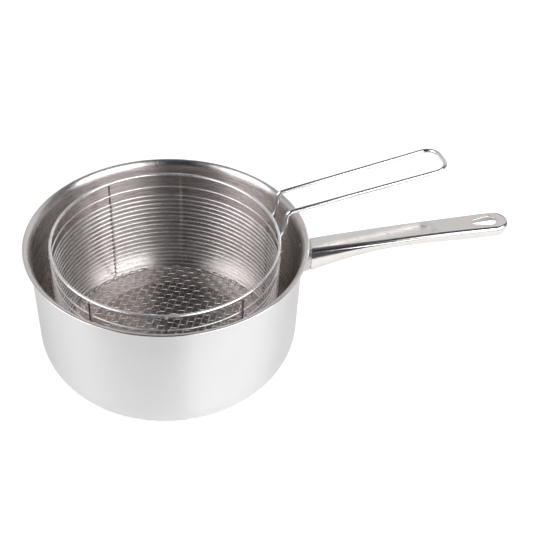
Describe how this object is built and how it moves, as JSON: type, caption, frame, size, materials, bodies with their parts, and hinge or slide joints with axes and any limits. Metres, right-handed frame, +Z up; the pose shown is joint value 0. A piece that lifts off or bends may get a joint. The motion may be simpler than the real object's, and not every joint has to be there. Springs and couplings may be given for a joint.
{
  "type": "deep fry pot with basket",
  "caption": "Deep round steel fry pot with a flared lip and a long flat channel handle, holding a lift-out round wire basket with a woven floor and a looped wire handle.",
  "frame": {"origin": "centre of the pot's underside, in the plane that it stands on", "axes": "+Z up out of the pot's mouth, +X along the pot's handle away from the pot, +Y to the back"},
  "size_m": [0.4418, 0.255, 0.1882],
  "materials": {
    "pot_steel": "satin, brushed round the pot",
    "base_aluminium": "plain, sealed under the steel cap",
    "handle_steel": "polished",
    "basket_wire": "bright wire",
    "basket_handle_wire": "bright wire"
  },
  "bodies": {
    "pot": {"pot_body": "pot_steel", "base_core": "base_aluminium", "base_cap": "pot_steel", "pot_handle": "handle_steel", "handle_bracket": "handle_steel"},
    "basket": {"basket_top_ring": "basket_wire", "side_ring_01": "basket_wire", "side_ring_02": "basket_wire", "side_ring_03": "basket_wire", "side_ring_04": "basket_wire", "side_ring_05": "basket_wire", "side_ring_06": "basket_wire", "side_ring_07": "basket_wire", "side_ring_08": "basket_wire", "side_ring_09": "basket_wire", "side_ring_10": "basket_wire", "side_ring_11": "basket_wire", "side_ring_12": "basket_wire", "side_ring_13": "basket_wire", "side_ring_14": "basket_wire", "side_ring_15": "basket_wire", "side_ring_16": "basket_wire", "side_ring_17": "basket_wire", "side_ring_18": "basket_wire", "side_ring_19": "basket_wire", "basket_bottom_ring": "basket_wire", "upright_01": "basket_wire", "upright_02": "basket_wire", "upright_03": "basket_wire", "upright_04": "basket_wire", "upright_05": "basket_wire", "upright_06": "basket_wire", "upright_07": "basket_wire", "upright_08": "basket_wire", "upright_09": "basket_wire", "upright_10": "basket_wire", "basket_mesh": "basket_wire", "basket_handle": "basket_handle_wire"}
  },
  "joints": [
    {"name": "basket_lift", "type": "slide", "parent": "pot", "child": "basket", "axis": [0, 0, 1], "range_m": [0, 0.15]}
  ]
}
